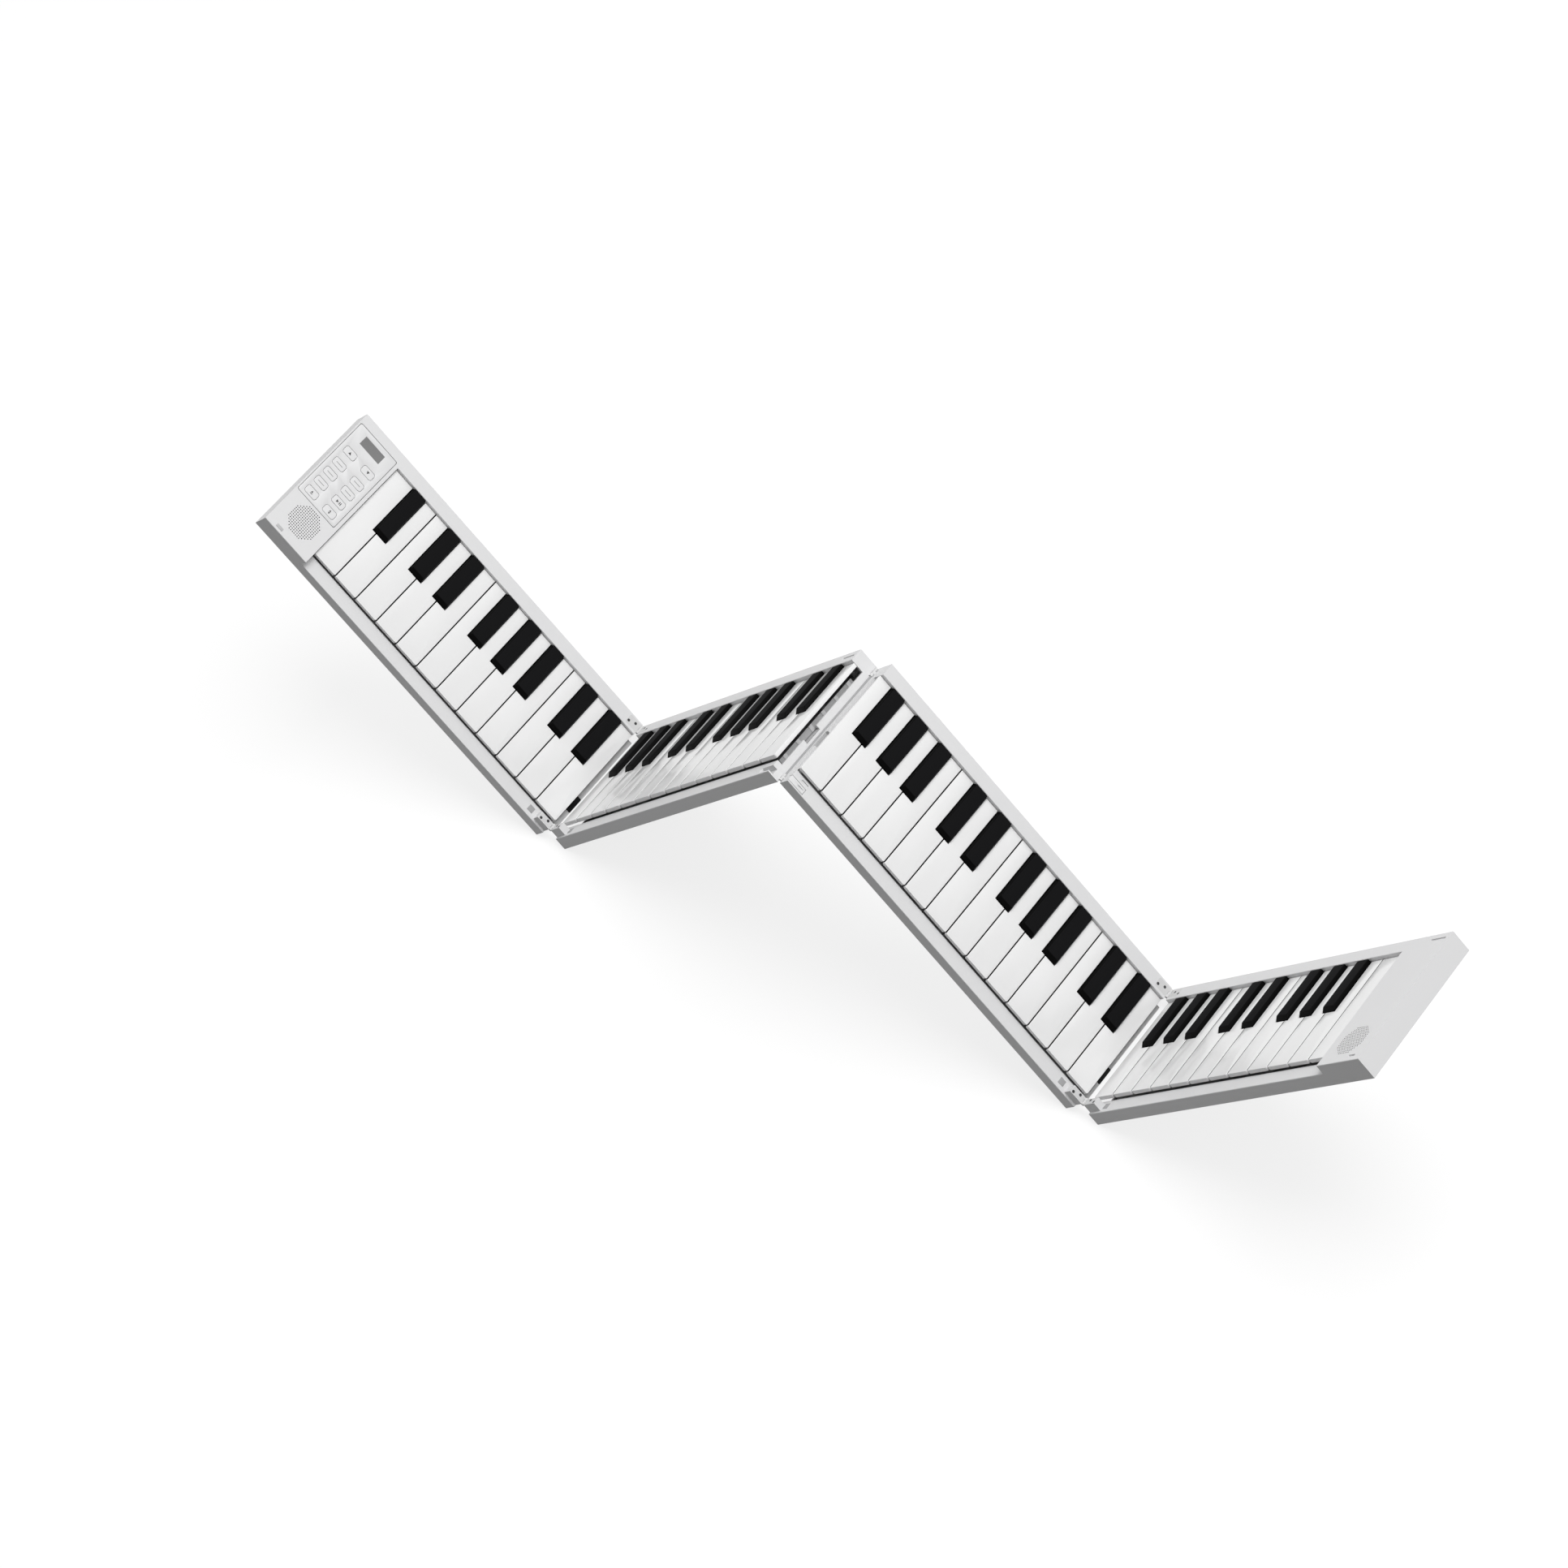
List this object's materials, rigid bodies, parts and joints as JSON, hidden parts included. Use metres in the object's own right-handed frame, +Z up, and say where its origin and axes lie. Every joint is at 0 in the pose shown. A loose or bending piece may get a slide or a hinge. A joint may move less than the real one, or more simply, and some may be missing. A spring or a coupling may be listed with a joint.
{
  "type": "folding keyboard",
  "caption": "Full-size folding piano keyboard with hinged panels, pivoted keys, a button block with a small display, and loudspeakers at both ends.",
  "frame": {"origin": "middle of the footprint of the zigzag-standing keyboard, on the table", "axes": "+X from the lowest key's panel to the highest key's panel, -Y the players' side, +Z up"},
  "size_m": [0.9642, 0.1226, 0.2397],
  "materials": {
    "case_white": "satin moulded white plastic",
    "base_grey_white": "fine textured white plastic",
    "key_white": "glossy white",
    "key_black": "glossy black",
    "circuit_board": "solder mask",
    "ribbon_black": "flat cable",
    "screw_steel": "nickel plated",
    "foot_rubber": "grey rubber",
    "hinge_leaf": "white coated steel",
    "hinge_pin": "plain steel",
    "overlay_white": "satin film",
    "display_grey": "smoked window",
    "button_white": "satin",
    "speaker_black": "paper cone and basket",
    "battery_wrap": "shrink wrap",
    "socket_steel": "stamped steel"
  },
  "bodies": {
    "panel_1": {"top_case_1": "case_white", "base_plate_1": "base_grey_white", "contact_board_1": "circuit_board", "flex_ribbon_1": "ribbon_black", "screws_1": "screw_steel", "foot_pads_1": "foot_rubber", "hinge_leaves_1": "hinge_leaf", "hinge_pins_12": "hinge_pin", "control_overlay": "overlay_white", "display_lens": "display_grey", "main_board": "circuit_board", "speaker_left": "speaker_black", "grille_left": "case_white", "usb_socket": "socket_steel"},
    "panel_2": {"top_case_2": "case_white", "base_plate_2": "base_grey_white", "contact_board_2": "circuit_board", "flex_ribbon_2": "ribbon_black", "screws_2": "screw_steel", "foot_pads_2": "foot_rubber", "hinge_leaves_2": "hinge_leaf", "hinge_pins_23": "hinge_pin"},
    "panel_3": {"top_case_3": "case_white", "base_plate_3": "base_grey_white", "contact_board_3": "circuit_board", "flex_ribbon_3": "ribbon_black", "screws_3": "screw_steel", "foot_pads_3": "foot_rubber", "hinge_leaves_3": "hinge_leaf", "hinge_pins_34": "hinge_pin"},
    "panel_4": {"top_case_4": "case_white", "base_plate_4": "base_grey_white", "contact_board_4": "circuit_board", "flex_ribbon_4": "ribbon_black", "screws_4": "screw_steel", "foot_pads_4": "foot_rubber", "hinge_leaves_4": "hinge_leaf", "speaker_right": "speaker_black", "grille_right": "case_white", "battery_pack": "battery_wrap"},
    "white_keys_1": {"white_keys_1": "key_white"},
    "black_keys_1": {"black_keys_1": "key_black"},
    "white_keys_2": {"white_keys_2": "key_white"},
    "black_keys_2": {"black_keys_2": "key_black"},
    "white_keys_3": {"white_keys_3": "key_white"},
    "black_keys_3": {"black_keys_3": "key_black"},
    "white_keys_4": {"white_keys_4": "key_white"},
    "black_keys_4": {"black_keys_4": "key_black"},
    "button_01": {"button_01": "button_white"},
    "button_02": {"button_02": "button_white"},
    "button_03": {"button_03": "button_white"},
    "button_04": {"button_04": "button_white"},
    "button_05": {"button_05": "button_white"},
    "button_06": {"button_06": "button_white"},
    "button_07": {"button_07": "button_white"},
    "button_08": {"button_08": "button_white"},
    "button_09": {"button_09": "button_white"},
    "button_10": {"button_10": "button_white"},
    "power_button": {"power_button": "button_white"},
    "lock_slider": {"lock_slider": "case_white"}
  },
  "joints": [
    {"name": "hinge_12", "type": "hinge", "parent": "panel_2", "child": "panel_1", "pos_m": [-0.24148, 0, 0.01234], "axis": [0, 1, 0], "range_deg": [-90, 90]},
    {"name": "hinge_23", "type": "hinge", "parent": "panel_2", "child": "panel_3", "pos_m": [0, 0, 0.22737], "axis": [0, 1, 0], "range_deg": [-90, 90]},
    {"name": "hinge_34", "type": "hinge", "parent": "panel_3", "child": "panel_4", "pos_m": [0.24148, 0, 0.01234], "axis": [0, -1, 0], "range_deg": [-90, 90]},
    {"name": "white_keys_1_press", "type": "hinge", "parent": "panel_1", "child": "white_keys_1", "pos_m": [-0.36116, 0.05285, 0.12091], "axis": [0.7071, 0, -0.7071], "range_deg": [0, 1.9], "stiffness_Nm_per_rad": 12, "springref_deg": -2.01},
    {"name": "black_keys_1_press", "type": "hinge", "parent": "panel_1", "child": "black_keys_1", "pos_m": [-0.36116, 0.05285, 0.12091], "axis": [0.7071, 0, -0.7071], "range_deg": [0, 2.5], "stiffness_Nm_per_rad": 12, "springref_deg": -2.01},
    {"name": "white_keys_2_press", "type": "hinge", "parent": "panel_2", "child": "white_keys_2", "pos_m": [-0.1218, 0.05285, 0.12091], "axis": [0.7071, 0, 0.7071], "range_deg": [0, 1.9], "stiffness_Nm_per_rad": 12, "springref_deg": -2.01},
    {"name": "black_keys_2_press", "type": "hinge", "parent": "panel_2", "child": "black_keys_2", "pos_m": [-0.1218, 0.05285, 0.12091], "axis": [0.7071, 0, 0.7071], "range_deg": [0, 2.5], "stiffness_Nm_per_rad": 12, "springref_deg": -2.01},
    {"name": "white_keys_3_press", "type": "hinge", "parent": "panel_3", "child": "white_keys_3", "pos_m": [0.1218, 0.05285, 0.12091], "axis": [0.7071, 0, -0.7071], "range_deg": [0, 1.9], "stiffness_Nm_per_rad": 12, "springref_deg": -2.01},
    {"name": "black_keys_3_press", "type": "hinge", "parent": "panel_3", "child": "black_keys_3", "pos_m": [0.1218, 0.05285, 0.12091], "axis": [0.7071, 0, -0.7071], "range_deg": [0, 2.5], "stiffness_Nm_per_rad": 12, "springref_deg": -2.01},
    {"name": "white_keys_4_press", "type": "hinge", "parent": "panel_4", "child": "white_keys_4", "pos_m": [0.36116, 0.05285, 0.12091], "axis": [0.7071, 0, 0.7071], "range_deg": [0, 1.9], "stiffness_Nm_per_rad": 12, "springref_deg": -2.01},
    {"name": "black_keys_4_press", "type": "hinge", "parent": "panel_4", "child": "black_keys_4", "pos_m": [0.36116, 0.05285, 0.12091], "axis": [0.7071, 0, 0.7071], "range_deg": [0, 2.5], "stiffness_Nm_per_rad": 12, "springref_deg": -2.01},
    {"name": "button_01_press", "type": "slide", "parent": "panel_1", "child": "button_01", "axis": [-0.7071, 0, -0.7071], "range_m": [0, 0.0005], "stiffness_N_per_m": 600, "springref_m": -0.0005},
    {"name": "button_02_press", "type": "slide", "parent": "panel_1", "child": "button_02", "axis": [-0.7071, 0, -0.7071], "range_m": [0, 0.0005], "stiffness_N_per_m": 600, "springref_m": -0.0005},
    {"name": "button_03_press", "type": "slide", "parent": "panel_1", "child": "button_03", "axis": [-0.7071, 0, -0.7071], "range_m": [0, 0.0005], "stiffness_N_per_m": 600, "springref_m": -0.0005},
    {"name": "button_04_press", "type": "slide", "parent": "panel_1", "child": "button_04", "axis": [-0.7071, 0, -0.7071], "range_m": [0, 0.0005], "stiffness_N_per_m": 600, "springref_m": -0.0005},
    {"name": "button_05_press", "type": "slide", "parent": "panel_1", "child": "button_05", "axis": [-0.7071, 0, -0.7071], "range_m": [0, 0.0005], "stiffness_N_per_m": 600, "springref_m": -0.0005},
    {"name": "button_06_press", "type": "slide", "parent": "panel_1", "child": "button_06", "axis": [-0.7071, 0, -0.7071], "range_m": [0, 0.0005], "stiffness_N_per_m": 600, "springref_m": -0.0005},
    {"name": "button_07_press", "type": "slide", "parent": "panel_1", "child": "button_07", "axis": [-0.7071, 0, -0.7071], "range_m": [0, 0.0005], "stiffness_N_per_m": 600, "springref_m": -0.0005},
    {"name": "button_08_press", "type": "slide", "parent": "panel_1", "child": "button_08", "axis": [-0.7071, 0, -0.7071], "range_m": [0, 0.0005], "stiffness_N_per_m": 600, "springref_m": -0.0005},
    {"name": "button_09_press", "type": "slide", "parent": "panel_1", "child": "button_09", "axis": [-0.7071, 0, -0.7071], "range_m": [0, 0.0005], "stiffness_N_per_m": 600, "springref_m": -0.0005},
    {"name": "button_10_press", "type": "slide", "parent": "panel_1", "child": "button_10", "axis": [-0.7071, 0, -0.7071], "range_m": [0, 0.0005], "stiffness_N_per_m": 600, "springref_m": -0.0005},
    {"name": "power_button_press", "type": "slide", "parent": "panel_1", "child": "power_button", "axis": [0, -1, 0], "range_m": [0, 0.0005], "stiffness_N_per_m": 600, "springref_m": -0.0005},
    {"name": "lock_slider_slide", "type": "slide", "parent": "panel_3", "child": "lock_slider", "axis": [-0.7071, 0, 0.7071], "range_m": [0, 0.009]}
  ]
}
